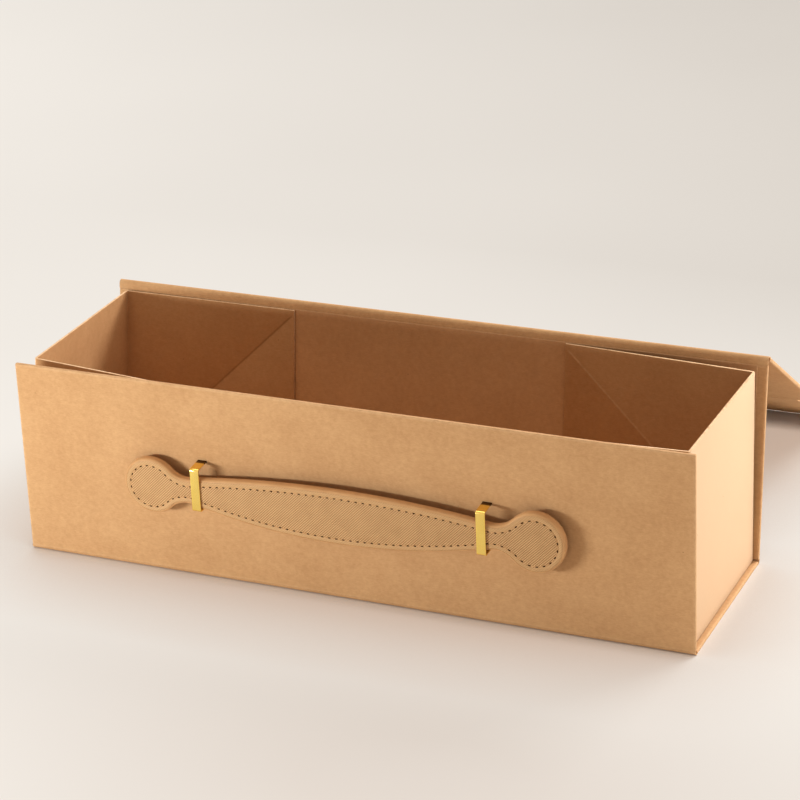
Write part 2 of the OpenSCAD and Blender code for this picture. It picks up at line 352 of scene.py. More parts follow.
leather = {
    "face": tone(212, 168, 118),
    "faceDeep": tone(128, 86, 48),
    "rim": tone(208, 160, 110),
    "rimDark": tone(192, 144, 96),
    "back": tone(184, 140, 98),
    "thread": tone(212, 168, 118),
    "hole": tone(58, 22, 4),
    "holeDark": tone(40, 14, 2),
    "hatchPitch": 0.95 * mm,
    "hatchSlant": 46,
    "crossPitch": 0.8 * mm,
    "crossSlant": -42,
    "hatchShare": 0.6,
    "crossShare": 0.4,
    "grainShare": 0.12,
    "marginTone": 0.82,
}


# Radians that the Wave texture turns through for each unit at a scale of 1
waveTurns = 20


# Cross-hatched leather: two families of slanting embossed lines, broken by noise. The
# margin outside the seam is nearly plain.
def hatchedLeather():
    material, shader = newMaterial("hatchedLeather", 0.6, specular=0.14)
    tree = material.node_tree
    coords = node(tree, "TexCoord", {}).outputs["Object"]
    wander = noiseOf(tree, coords, 6 * mm, 2)
    lines = []
    for slant, pitch in (
        (leather["hatchSlant"], leather["hatchPitch"]),
        (leather["crossSlant"], leather["crossPitch"]),
    ):
        slanting = {"Vector": coords, "Rotation": (0, math.radians(slant), 0)}
        wave = node(tree, "TexWave", {
            "Vector": node(tree, "Mapping", slanting).outputs[0], "Scale": 2 * math.pi / waveTurns / pitch,
            "Distortion": 0.6, "Detail": 1.0, "Detail Scale": 0.3,
        }, bands_direction="Z", wave_profile="SIN").outputs["Fac"]
        lines.append(wave)
    grain = noiseOf(tree, coords, 0.5 * mm, 2)
    hatch = combine(tree, "MULTIPLY", lines[0], leather["hatchShare"])
    height = combine(tree, "ADD", hatch, combine(tree, "MULTIPLY", lines[1], leather["crossShare"]))
    height = combine(tree, "ADD", height, combine(tree, "MULTIPLY", grain, leather["grainShare"]))
    share = spread(tree, height, 0.15, 0.7, 0, 1)
    share = combine(tree, "MULTIPLY", share, spread(tree, wander, 0.3, 0.7, 0.9, 1.08))
    margin = node(tree, "Attribute", {}, attribute_name="margin").outputs["Fac"]
    share = spread(tree, margin, 0, 1.25, share, leather["marginTone"])
    share = clamped(tree, share)
    tree.links.new(mixed(tree, share, leather["faceDeep"], leather["face"]), shader.inputs["Base Color"])
    tree.links.new(spread(tree, height, 0, 1, 0.62, 0.42), shader.inputs["Roughness"])
    bump = node(tree, "Bump", {"Height": height, "Strength": 0.6, "Distance": 0.2 * mm})
    tree.links.new(bump.outputs[0], shader.inputs["Normal"])
    return material


def plainLeather(name, light, dark, roughness, specular=0.12):
    material, shader = newMaterial(name, roughness, specular=specular)
    tree = material.node_tree
    coords = node(tree, "TexCoord", {}).outputs["Object"]
    soft = noiseOf(tree, coords, 9 * mm, 3)
    fine = noiseOf(tree, coords, 0.6 * mm, 2)
    share = combine(tree, "ADD", spread(tree, soft, 0.3, 0.7, 0, 0.7), spread(tree, fine, 0.3, 0.7, 0, 0.3))
    tree.links.new(mixed(tree, share, dark, light), shader.inputs["Base Color"])
    bump = node(tree, "Bump", {"Height": fine, "Strength": 0.15, "Distance": 0.12 * mm})
    tree.links.new(bump.outputs[0], shader.inputs["Normal"])
    return material


metals = {
    "gold": tone(255, 226, 128),
    "goldDark": tone(250, 212, 108),
    "goldDeep": tone(48, 16, 4),
    "steel": tone(200, 200, 205),
    "steelDark": tone(180, 180, 186),
}


def polishedMetal(name, light, dark, roughness):
    material, shader = newMaterial(name, roughness, metallic=1.0)
    tree = material.node_tree
    coords = node(tree, "TexCoord", {}).outputs["Object"]
    cloud = noiseOf(tree, coords, 5 * mm, 3)
    brushed = node(tree, "Mapping", {"Vector": coords, "Scale": (1, 1, 0.06)}).outputs[0]
    scratch = noiseOf(tree, brushed, 0.25 * mm, 2)
    # painted reflection: darker where a loop's upper leg would mirror the dark slit
    deep = node(tree, "Attribute", {}, attribute_name="deep").outputs["Fac"]
    colour = mixed(tree, deep, mixed(tree, cloud, dark, light), metals["goldDeep"])
    tree.links.new(colour, shader.inputs["Base Color"])
    rough = spread(tree, scratch, 0.3, 0.7, roughness * 0.8, roughness * 1.3)
    tree.links.new(rough, shader.inputs["Roughness"])
    bump = node(tree, "Bump", {"Height": scratch, "Strength": 0.04, "Distance": 0.05 * mm})
    tree.links.new(bump.outputs[0], shader.inputs["Normal"])
    return material


strapLeather = hatchedLeather()
rimPaint = plainLeather("rimPaint", leather["rim"], leather["rimDark"], 0.42)
backLeather = plainLeather("backLeather", leather["back"], leather["rimDark"], 0.6)
sewingThread = plainLeather("sewingThread", leather["thread"], leather["rimDark"], 0.7)
# painted shade: dark dots stand for the shade inside the needle holes
needleHole = plainLeather("needleHole", leather["hole"], leather["holeDark"], 0.9, specular=0)
loopGold = polishedMetal("loopGold", metals["gold"], metals["goldDark"], 0.17)
magnetSteel = polishedMetal("magnetSteel", metals["steel"], metals["steelDark"], 0.25)
print("materials made")


boards = {"rounding": 0.55 * mm, "support": 0.9 * mm, "cutPast": 1 * mm}
linings = {"rounding": 0.12 * mm, "support": 0.5 * mm, "rubbed": 0.3 * mm, "rubbedShare": 0.8}
loops = {
    "pitch": 148.4 * mm,
    "width": 4.7 * mm,
    "metal": 0.8 * mm,
    "height": 23.8 * mm,
    "reach": 10.3 * mm,
    "bend": 1.4 * mm,
    "prong": 5 * mm,
    "clearance": 0.15 * mm,
    "shade": 3.2 * mm,
    "shadeSoft": 0.6 * mm,
    "edgeRound": 0.14 * mm,
}
strap = {
    "length": 228.8 * mm,
    "bulb": 15 * mm,
    "waist": 7.5 * mm,
    "up": 13 * mm,
    "down": 16.2 * mm,
    "neck": 12 * mm,
    "centreX": 0 * mm,
    "centreZ": 52 * mm,
    "seatGap": 1.3 * mm,
    "gap": 5.8 * mm,
    "endGap": 3.2 * mm,
    "fuller": 0.07,
    "fullerFrom": 86 * mm,
    "fullerOver": 10 * mm,
    "fullerReach": 0.6 * mm,
}
magnets = {"diameter": 10.2 * mm, "depth": 1.6 * mm, "pitch": 100 * mm, "drop": 25 * mm}
loopLow = strap["centreZ"] - strap["waist"] - strap["seatGap"] - loops["metal"]
loopMiddle = loopLow + loops["height"] / 2


# A wrapped board from Y 0 to its width and Z 0 to its thickness. Its edges are rounded,
# apart from those that meet a fold without a gap.
def makeBoard(name, length, width, sharpNear=False, sharpFar=False):
    board = addCube(name, (-length / 2, 0, 0), (length / 2, width, case["board"]))

    def rounded(middle, along):
        atNear, atFar = middle.y < tiny, middle.y > width - tiny
        return not (atNear and sharpNear or atFar and sharpFar)

    pick(board, "EDGE", rounded)
    bpy.ops.mesh.bevel(offset=boards["rounding"], segments=4, profile=0.5)
    pick(board, "FACE", lambda middle, normal: abs(normal.z) > 0.99)
    bpy.ops.mesh.inset(thickness=boards["support"])
    bpy.ops.object.mode_set(mode="OBJECT")
    rim = boards["rounding"] + tiny

    def onEdge(point):
        near = point.y < rim and not sharpNear
        far = point.y > width - rim and not sharpFar
        return 1.0 if near or far or abs(point.x) > length / 2 - rim else 0.0

    mark(board, "edge", onEdge)
    return board


def cut(board, cutters):
    for cutter in cutters:
        finishWith(board, "BOOLEAN", object=cutter, operation="DIFFERENCE", solver="EXACT")
        bpy.data.objects.remove(cutter)


def magnetPockets(height, inner, goingUp):
    made = []
    for side in (-1, 1):
        bpy.ops.object.select_all(action="DESELECT")
        depth = magnets["depth"] + boards["cutPast"]
        above = (boards["cutPast"] - magnets["depth"]) / 2
        z = inner + (above if goingUp else -above)
        bpy.ops.mesh.primitive_cylinder_add(
            vertices=48, radius=magnets["diameter"] / 2, depth=depth,
            location=(side * magnets["pitch"] / 2, height, z))
        made.append(named("pocket"))
    return made


frontBoard = makeBoard("frontBoard", case["length"], case["height"] - case["foldRadius"], sharpNear=True)
cutters = magnetPockets(case["height"] - magnets["drop"] - case["foldRadius"], 0, False)
for side in (-1, 1):
    x = strap["centreX"] + side * loops["pitch"] / 2
    halfSlit = loops["width"] / 2 + loops["clearance"]
    for up in (-1, 1):
        leg = loopMiddle + up * (loops["height"] - loops["metal"]) / 2 - case["foldRadius"]
        halfLeg = loops["metal"] / 2 + loops["clearance"]
        end = leg + up * (loops["prong"] + halfLeg)
        cutters.append(addCube(
            "slit", (x - halfSlit, leg - halfLeg, -boards["cutPast"]),
            (x + halfSlit, leg + halfLeg, case["board"] + boards["cutPast"])))
        cutters.append(addCube(
            "recess", (x - halfSlit, min(leg, end), -boards["cutPast"]),
            (x + halfSlit, max(leg, end), loops["metal"] + loops["clearance"])))
cut(frontBoard, cutters)
put(frontBoard, onFront(-case["depth"] / 2 + case["board"], case["foldRadius"]), 90 + case["frontLean"])

baseBoard = makeBoard("baseBoard", case["length"], backFold[0] - frontFold[0], sharpNear=True, sharpFar=True)
put(baseBoard, (frontFold[0], 0), 0)

backBoard = makeBoard(
    "backBoard", case["length"], case["height"] - case["hingeGap"] - case["foldRadius"], sharpNear=True)
put(backBoard, onBack(case["depth"] / 2, case["foldRadius"]), 90 - case["backLean"])

lidBoard = makeBoard("lidBoard", case["length"], lidLength - 2 * case["hingeGap"])
put(lidBoard, turned(lidAxis[0] + case["hingeGap"], lidAxis[1], lidAxis, -case["lidDrop"]), -case["lidDrop"])

flapBoard = makeBoard("flapBoard", flapWidth, flapLength - case["hingeGap"])
cut(flapBoard, magnetPockets(magnets["drop"] - case["hingeGap"], case["board"], True))
put(flapBoard, turned(flapAxis[0] + case["hingeGap"], flapAxis[1], flapAxis, -flapDrop), -flapDrop)

for board, body, cadNode in (
    (frontBoard, "case", "front_panel"), (baseBoard, "case", "base_panel"), (backBoard, "case", "back_panel"),
    (lidBoard, "lid", "lid_panel"), (flapBoard, "flap", "closing_flap"),
):
    smooth(board)
    dress(board, body, "kraft_board", kraftWrap, cadNode)
print("boards made")


# A lining sheet from Y 0 to its width, with its glued face at Z 0
def makeLining(name, length, width):
    sheet = addCube(name, (-length / 2, 0, 0), (length / 2, width, case["lining"]))
    pick(sheet, "EDGE", lambda middle, along: middle.z > case["lining"] - tiny)
    bpy.ops.mesh.bevel(offset=linings["rounding"], segments=2)
    pick(sheet, "FACE", lambda middle, normal: normal.z > 0.99)
    bpy.ops.mesh.inset(thickness=linings["support"])
    bpy.ops.object.mode_set(mode="OBJECT")
    rubbedFrom = length / 2 - linings["rubbed"]
    mark(sheet, "edge", lambda point: linings["rubbedShare"] if abs(point.x) > rubbedFrom else 0.0)
    return sheet


liningLength = case["length"] - 2 * case["margin"]
inner = -case["depth"] / 2 + case["board"]
frontLining = makeLining("frontLining", liningLength, case["height"] - case["margin"] - case["foldRadius"])
pick(frontLining, "FACE", lambda middle, normal: True)
bpy.ops.transform.mirror(constraint_axis=(False, False, True))
bpy.ops.mesh.flip_normals()
put(frontLining, onFront(inner, case["foldRadius"]), 90 + case["frontLean"])

baseLining = makeLining("baseLining", liningLength, backFold[0] - frontFold[0])
put(baseLining, (frontFold[0], case["board"]), 0)

backLining = makeLining("backLining", liningLength, case["height"] - case["hingeGap"] - case["foldRadius"])
put(backLining, onBack(-inner, case["foldRadius"]), 90 - case["backLean"])

lidLining = makeLining("lidLining", liningLength, lidLength - 2 * case["hingeGap"] - case["liningStep"])
put(lidLining, turned(lidAxis[0] + case["hingeGap"], lidAxis[1] + case["board"], lidAxis, -case["lidDrop"]),
    -case["lidDrop"])

flapLiningStart = case["hingeGap"] + case["liningStep"]
flapLining = makeLining(
    "flapLining", flapWidth - 2 * case["margin"], flapLength - flapLiningStart - case["margin"])
put(flapLining, turned(flapAxis[0] + flapLiningStart, flapAxis[1] + case["board"], flapAxis, -flapDrop),
    -flapDrop)

for lining, body, cadNode in (
    (frontLining, "case", "front_liner"),
    (baseLining, "case", "base_liner"),
    (backLining, "case", "back_liner"),
    (lidLining, "lid", "lid_liner"), (flapLining, "flap", "flap_liner"),
):
    smooth(lining)
    dress(lining, body, "lining_paper", kraftLining, cadNode)
print("linings made")


# A sheet drawn along X over a line of points, given a thickness towards one side
def paperAlong(name, line, length, thickness, columns=48):
    last = len(line) - 1

    def place(u, v):
        y, z = line[round(v * last)]
        return ((u - 0.5) * length, y, z)

    sheet = shapedGrid(name, columns, last, place)
    finishWith(sheet, "SOLIDIFY", thickness=thickness, offset=-1, use_even_offset=True)
    outwards(sheet)
    mark(sheet, "edge", lambda point: 1.0 if abs(point.x) > length / 2 - tiny else 0.0)
    return sheet


def arcLine(centre, radius, fromDegrees, toDegrees, steps):
    turn = toDegrees - fromDegrees
    return [onArc(centre, radius, fromDegrees + turn * i / steps) for i in range(steps + 1)]


frontCorner = paperAlong(
    "frontCorner", arcLine(frontFold, case["foldRadius"], 270, 180 + case["frontLean"], 10), case["length"],
    case["paper"])
rearCorner = paperAlong(
    "rearCorner", arcLine(backFold, case["foldRadius"], 360 - case["backLean"], 270, 10), case["length"],
    case["paper"])
for corner, cadNode in ((frontCorner, "front_hinge"), (rearCorner, "rear_hinge")):
    smooth(corner)
    dress(corner, "case", "hinge_paper", kraftWrap, cadNode)

gap = case["hingeGap"]
hingeLine = (
    [onBack(case["depth"] / 2 - case["board"], case["height"] - gap * (1 - i / 3)) for i in range(3)]
    + arcLine(lidAxis, case["board"], 180 - case["backLean"], 90 - case["lidDrop"], 16)
    + [turned(lidAxis[0] + gap * (i + 1) / 3, lidAxis[1] + case["board"], lidAxis, -case["lidDrop"])
       for i in range(3)]
)
lidHinge = paperAlong("lidHinge", hingeLine, case["length"], case["paper"])
smooth(lidHinge, 50)
lidHinge.data.materials.append(kraftWrap)
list(onArc(lidAxis, case["board"], 180 - case["backLean"]))
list(onArc(lidAxis, case["board"], 90 - case["lidDrop"]))
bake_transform(lidHinge)
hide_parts("lid_hinge")

flapLine = (
    [turned(flapAxis[0] - gap * (1 - i / 4), flapAxis[1], flapAxis, -case["lidDrop"]) for i in range(4)]
    + [tuple(flapAxis)]
    + [turned(flapAxis[0] + gap * (i + 1) / 4, flapAxis[1], flapAxis, -flapDrop) for i in range(4)]
)
flapHinge = paperAlong("flapHinge", flapLine[::-1], flapWidth, case["paper"])
smooth(flapHinge, 50)
flapHinge.data.materials.append(kraftWrap)
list(turned(flapAxis[0] - gap * 0.6, flapAxis[1], flapAxis, -case["lidDrop"]))
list(turned(flapAxis[0] + gap * 0.6, flapAxis[1], flapAxis, -flapDrop))
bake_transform(flapHinge)
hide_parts("flap_hinge")
print("folds and hinges made")


gusset = {
    "card": 1.3 * mm,
    "wallX": 172.4 * mm,
    "wallTop": 102.97 * mm,
    "creaseDrop": 1.6 * mm,
    "flange": 18 * mm,
    "flangeInset": 4 * mm,
    "foldRound": 1.5 * mm,
    "edgeRound": 0.2 * mm,
    "creaseRound": 0.8 * mm,
    "creaseEnd": 3.5 * mm,
    "foldZone": 3 * mm,
    "freeFrom": 2 * mm,
    "flangeRound": 0.3 * mm,
}
wingWidth = gusset["wallTop"] - floorTop - gusset["creaseDrop"]
creaseZ = floorTop + wingWidth
innerOffset = case["foldRadius"] - floorTop


def frontY(z):
    lean = math.radians(case["frontLean"])
    return frontFold[0] - innerOffset / math.cos(lean) - (z - case["foldRadius"]) * math.tan(lean)


def backY(z):
    lean = math.radians(case["backLean"])
    return backFold[0] + innerOffset / math.cos(lean) + (z - case["foldRadius"]) * math.tan(lean)


# An end wall and its two wings, folded from one sheet of card. The wall leans inwards, by a
# share of its height it follows the back panel, and a wing's diagonal crease is a ridge or,
# with a size below 0, a groove. A ridge is marked for a painted highlight and a groove for a
# painted shade, and the top and free edges are marked lighter, rubbed card edges with painted
# highlight on them.
def makeGusset(name, side, stance):
    wallX, top, card = gusset["wallX"], gusset["wallTop"], gusset["card"]
    frontLow, backLow = frontY(floorTop), backY(floorTop)
    edgeX = wallX - wingWidth
    sheet = addPlane(name, (wallX, (frontLow + backLow) / 2, (floorTop + top) / 2), (0, math.pi / 2, 0),
                     top - floorTop, backLow - frontLow)
    pick(sheet, "EDGE", lambda middle, along: abs(along.z) > 0.9)
    bpy.ops.mesh.extrude_region_move(TRANSFORM_OT_translate={"value": (-wingWidth, 0, 0)})
    pick(sheet, "EDGE", lambda middle, along: abs(along.z) > 0.9 and middle.x > wallX - tiny)
    bpy.ops.mesh.bevel(offset=gusset["foldRound"], segments=4)
    pick(sheet, "FACE", lambda middle, normal: True)
    bpy.ops.mesh.normals_make_consistent(inside=False)
    bpy.ops.object.mode_set(mode="OBJECT")
    if max(sheet.data.polygons, key=lambda face: face.center.x).normal.x < 0:
        pick(sheet, "FACE", lambda middle, normal: True)
        bpy.ops.mesh.flip_normals()
    finishWith(sheet, "SOLIDIFY", thickness=card, offset=-1, use_even_offset=True)
    finishWith(sheet, "BEVEL", width=gusset["edgeRound"], segments=2, limit_method="ANGLE",
               angle_limit=math.radians(60))

    # three cuts side by side make each diagonal crease, and two cuts across them end it
    for shift in (-gusset["creaseRound"], 0, gusset["creaseRound"]):
        pick(sheet, "FACE", lambda middle, normal: middle.x < wallX - gusset["foldZone"])
        bpy.ops.mesh.bisect(plane_co=(wallX + shift * math.sqrt(2), 0, floorTop), plane_no=(1, 0, 1))
    for x in (wallX - gusset["creaseEnd"], edgeX + gusset["creaseEnd"]):
        pick(sheet, "FACE", lambda middle, normal: middle.x < wallX - gusset["foldZone"])
        bpy.ops.mesh.bisect(plane_co=(x, 0, 0), plane_no=(1, 0, 0))
    bpy.ops.object.mode_set(mode="OBJECT")

    def fromCrease(point):
        return (point.x + point.z - wallX - floorTop) / math.sqrt(2)

    # the upper facets turn in to the wall's edges, the lower ones lie on the panels
    creaseStart = gusset["creaseEnd"] - tiny
    marks = []
    for vertex in sheet.data.vertices:
        point = vertex.co
        reach = min(wallX - point.x, point.z - floorTop) / wingWidth
        onWing = max(0, min(1, (wallX - point.x) / wingWidth))
        onCrease = abs(fromCrease(point)) < tiny and creaseStart < wallX - point.x < wingWidth - creaseStart
        atTop = point.z > top - tiny
        atFree = point.x < edgeX + tiny and point.z > floorTop + gusset["freeFrom"]
        leaning = (backY(creaseZ) - backLow) * stance["followsBack"]
        followed = leaning * ((point.z - floorTop) / wingWidth - reach)
        crease, lean = stance["frontCrease"], stance["frontLean"]
        if point.y < 0:
            point.y += (frontY(creaseZ) - frontLow) * reach + followed + (crease if onCrease else 0)
        else:
            crease, lean = stance["backCrease"], stance["backLean"]
            point.y += (backY(creaseZ) - backLow) * reach + followed - (crease if onCrease else 0)
        # painted highlight along a ridge crease and painted shade along a groove
        paintedCreaseMark = math.copysign(stance["creaseTone"], crease) if onCrease else 0.0
        marks.append(1.0 if atTop or atFree else paintedCreaseMark)
        point.x -= lean * (point.z - floorTop) / (top - floorTop) * (1 - onWing)
    layer = sheet.data.attributes.new("edge", "FLOAT", "POINT")
    layer.data.foreach_set("value", marks)
    flange = addCube("flange", (wallX - gusset["flange"], frontLow + gusset["flangeInset"], floorTop),
                     (wallX - card, backLow - gusset["flangeInset"], floorTop + card))
    pick(flange, "EDGE", lambda middle, along: middle.x < wallX - card - tiny and middle.z > floorTop + tiny)
    bpy.ops.mesh.bevel(offset=gusset["flangeRound"], segments=2)
    only(sheet)
    flange.select_set(True)
    bpy.ops.object.join()
    if side < 0:
        pick(sheet, "FACE", lambda middle, normal: True)
        bpy.ops.transform.resize(value=(-1, 1, 1), center_override=(0, 0, 0))
        bpy.ops.mesh.flip_normals()
    smooth(sheet, 35)
    return sheet


rightGusset = makeGusset("rightGusset", 1, {
    "frontLean": 2.5 * mm, "backLean": 1.4 * mm, "followsBack": 0,
    "frontCrease": -0.12 * mm, "backCrease": 0.35 * mm, "creaseTone": 0.3,
})
leftGusset = makeGusset("leftGusset", -1, {
    "frontLean": 0.2 * mm, "backLean": 1.9 * mm, "followsBack": 0.92,
    "frontCrease": 0.12 * mm, "backCrease": -0.4 * mm, "creaseTone": 0.75,
})
dress(rightGusset, "case", "gusset_board", gussetCard, "right_gusset")
dress(leftGusset, "case", "gusset_board", gussetCard, "left_gusset")
print("gussets made")


# Where two circles round a and b cross, above or below the line between them
def crossing(a, ra, b, rb, above):
    d = math.dist(a, b)
    along = (ra * ra - rb * rb + d * d) / (2 * d)
    off = math.sqrt(max(ra * ra - along * along, 0)) * above
    ux, uy = (b[0] - a[0]) / d, (b[1] - a[1]) / d
    return (a[0] + along * ux - off * uy, a[1] + along * uy + off * ux)


def angleTo(centre, point):
    return math.atan2(point[1] - centre[1], point[0] - centre[0])


# The strap's outline as points and outward directions, evenly spaced and clockwise from
# the middle of its upper edge
def strapOutline(inset, spacing):
    halfPitch = loops["pitch"] / 2
    bulbCentre = (strap["length"] / 2 - strap["bulb"], 0)
    dense = []
    for up, rise in ((1, strap["up"]), (-1, strap["down"])):
        over = rise - strap["waist"]
        radius = (halfPitch ** 2 + over ** 2) / (2 * over)
        bellyCentre = (0, up * (rise - radius))
        neck = crossing(bellyCentre, radius + strap["neck"], bulbCentre, strap["bulb"] + strap["neck"], up)
        bellyEnd, bulbStart = angleTo(bellyCentre, neck), angleTo(bulbCentre, neck)
        half = []
        for centre, r, a, b, outward in (
            (bellyCentre, radius, up * math.pi / 2, bellyEnd, 1),
            (neck, strap["neck"], bellyEnd + math.pi * (1 if up < 0 else -1), bulbStart - up * math.pi, -1),
            (bulbCentre, strap["bulb"], bulbStart, 0, 1),
        ):
            while outward < 0 and abs(b - a) > math.pi:
                b += math.copysign(2 * math.pi, a - b)
            steps = max(8, int(abs(b - a) * r / (0.2 * mm)))
            for i in range(steps):
                t = a + (b - a) * i / steps
                out = (outward * math.cos(t), outward * math.sin(t))
                onCurve = (centre[0] + r * math.cos(t), centre[1] + r * math.sin(t))
                half.append((onCurve[0] - inset * out[0], onCurve[1] - inset * out[1], *out))
        if up > 0:
            dense = half
        else:
            tip = (bulbCentre[0] + strap["bulb"] - inset, 0, 1, 0)
            dense = dense + [tip] + half[::-1]
    left = [(-s, h, -outS, outH) for s, h, outS, outH in dense[::-1]]
    ring = dense + left[1:-1]
    lengths = [math.dist(ring[i][:2], ring[(i + 1) % len(ring)][:2]) for i in range(len(ring))]
    total = sum(lengths)
    count = round(total / spacing / 2) * 2
    step, points, travelled, i = total / count, [], 0.0, 0
    for k in range(count):
        while travelled + lengths[i] < k * step:
            travelled += lengths[i]
            i += 1
        share = (k * step - travelled) / lengths[i]
        a, b = ring[i], ring[(i + 1) % len(ring)]
        points.append(tuple(a[j] + (b[j] - a[j]) * share for j in range(4)))
    return points


# A point of the bowed strap, by its place along, its height and its distance from the
# strap's back. The right end is a little fuller than the left one.
def strapPoint(s, h, above):
    bow = strap["gap"] - (strap["gap"] - strap["endGap"]) * (2 * s / strap["length"]) ** 2
    fuller = max(0, min(1, (s - strap["fullerFrom"]) / strap["fullerOver"]))
    y, z = onFront(-case["depth"] / 2 - bow - above, strap["centreZ"] + h * (1 + strap["fuller"] * fuller))
    return (strap["centreX"] + s + strap["fullerReach"] * fuller, y, z)


# The line that the strap's layers close on, halfway between its edges
def middleLine(s):
    reach = strap["length"] / 2 - strap["bulb"]
    s = max(-reach, min(reach, s))
    share = max(0, 1 - (2 * s / loops["pitch"]) ** 2)
    return (s, (strap["up"] - strap["down"]) / 2 * share)


outline = strapOutline(0, 1.6 * mm)
stitchInset = 3.6 * mm
marginInset = stitchInset - 0.3 * mm
sole = 4.4 * mm


# A closed layer of the strap, built of rings: each is an inset from the outline, a height
# over the strap's back, and a share of the way in from there to the middle line
def strapLayer(name, rings):
    count = len(outline)
    margins = []

    def place(u, v):
        s, h, outS, outH = outline[round(u * count) % count]
        inset, above, share = rings[round(v * (len(rings) - 1))]
        margins.append(1.0 if inset < marginInset else 0.0)
        s0, h0 = s - outS * inset, h - outH * inset
        middle = middleLine(s)
        return strapPoint(s0 + (middle[0] - s0) * share, h0 + (middle[1] - h0) * share, above)

    layer = shapedGrid(name, count, len(rings) - 1, place)
    layer.data.attributes.new("margin", "FLOAT", "POINT").data.foreach_set("value", margins)
    outwards(layer)
    smooth(layer, 55)
    return layer


def roundOver(inset, above, radius, steps, wide=1.0):
    made = []
    for i in range(steps + 1):
        a = math.pi / 2 * i / steps
        made.append((inset + radius * wide * (1 - math.cos(a)), above + radius * math.sin(a), 0))
    return made


backTop, coreTop = 1.0 * mm, 3.2 * mm
faceInset = 1.15 * mm
crown = 0.1 * mm

strapBack = strapLayer("strapBack", [
    (sole, 0, 1), (sole, 0, 0.5), (sole, 0, 0), (0.7 * mm, 0, 0), (0.3 * mm, 0.12 * mm, 0),
    (0.08 * mm, 0.4 * mm, 0), (0.02 * mm, backTop, 0), (sole, backTop, 0), (sole, backTop, 1),
])
strapRim = strapLayer("strapRim", [
    (sole, backTop, 1), (sole, backTop, 0), (0.02 * mm, backTop, 0), (0, backTop + 0.3 * mm, 0),
    *roundOver(0, 2.7 * mm, 1.6 * mm, 6, 0.66), (faceInset, 4.2 * mm, 0), (faceInset, coreTop, 0),
    (sole, coreTop, 0), (sole, coreTop, 1),
])
strapFace = strapLayer("strapFace", [
    (sole, coreTop, 1), (sole, coreTop, 0), (faceInset, coreTop, 0), (faceInset, 4.12 * mm, 0),
    (1.3 * mm, 4.34 * mm, 0), (1.6 * mm, 4.42 * mm, 0), (3.1 * mm, 4.46 * mm, 0), (3.4 * mm, 4.3 * mm, 0),
    (stitchInset, 4.24 * mm, 0), (3.8 * mm, 4.3 * mm, 0), (4.1 * mm, 4.46 * mm, 0), (sole, 4.48 * mm, 0),
    *[(sole, 4.48 * mm + crown * (1 - (1 - m) ** 2), m) for m in (0.12, 0.25, 0.4, 0.6, 0.8, 1)],
])
dress(strapBack, "strap", "strap_leather", backLeather, "strap_backing")
dress(strapRim, "strap", "strap_core", rimPaint, "strap_core")
dress(strapFace, "strap", "strap_leather", strapLeather, "strap_face")
print("strap made")

stitches = {
    "pitch": 3.7 * mm,
    "thread": (1.55 * mm, 0.31 * mm, 0.34 * mm),
    "hole": (0.875 * mm, 0.65 * mm, 0.2 * mm),
    "frontThread": 4.2 * mm,
    "backThread": 0.02 * mm,
    "frontHole": 4.22 * mm,
    "backHole": 0 * mm,
    "segments": 8,
    "rings": 6,
}
seam = strapOutline(stitchInset, stitches["pitch"])


# Copies of one small round shape along the seam, by its half sizes, each turned to follow
# the seam and, where between is true, put halfway between two holes
def alongSeam(name, half, between, above):
    bpy.ops.object.select_all(action="DESELECT")
    bpy.ops.mesh.primitive_uv_sphere_add(
        segments=stitches["segments"], ring_count=stitches["rings"], radius=1, rotation=(0, math.pi / 2, 0))
    model = named(name + "Model")
    copies = []
    for index in range(len(seam)):
        s, h, outS, outH = seam[index]
        nextS, nextH = seam[(index + 1) % len(seam)][:2]
        if between:
            s, h = (s + nextS) / 2, (h + nextH) / 2
        centre = Vector(strapPoint(s, h, above))
        along = Vector((outH, 0, -outS))
        ahead = Vector(strapPoint(s + along.x * mm, h + along.z * mm, above)) - centre
        outward = Vector((0, -1, 0))
        outward.rotate(Matrix.Rotation(math.radians(case["frontLean"]), 3, "X"))
        ahead.normalize()
        across = ahead.cross(outward).normalized()
        turn = Matrix((ahead * half[0], across * half[1], outward * half[2])).transposed().to_4x4()
        copy = model.copy()
        copy.data = model.data.copy()
        bpy.context.collection.objects.link(copy)
        copy.data.transform(Matrix.Translation(centre) @ turn)
        copies.append(copy)
    bpy.data.objects.remove(model)
    only(copies[0])
    for copy in copies:
        copy.select_set(True)
    bpy.ops.object.join()
    joined = bpy.context.object
    joined.name = joined.data.name = name
    only(joined)
    bpy.ops.object.mode_set(mode="EDIT")
    bpy.ops.mesh.select_all(action="SELECT")
    bpy.ops.mesh.normals_make_consistent(inside=False)
    bpy.ops.object.mode_set(mode="OBJECT")
    smooth(joined, 60)
    return joined


# threads, and dark dots of painted shade at the needle holes
for name, shape, between, above, material in (
    ("frontThread", "thread", True, stitches["frontThread"], sewingThread),
    ("backThread", "thread", True, stitches["backThread"], sewingThread),
    ("frontHoles", "hole", False, stitches["frontHole"], needleHole),
    ("backHoles", "hole", False, stitches["backHole"], needleHole),
):
    dress(alongSeam(name, stitches[shape], between, above), "strap", "strap_leather", material)
print("stitches made")


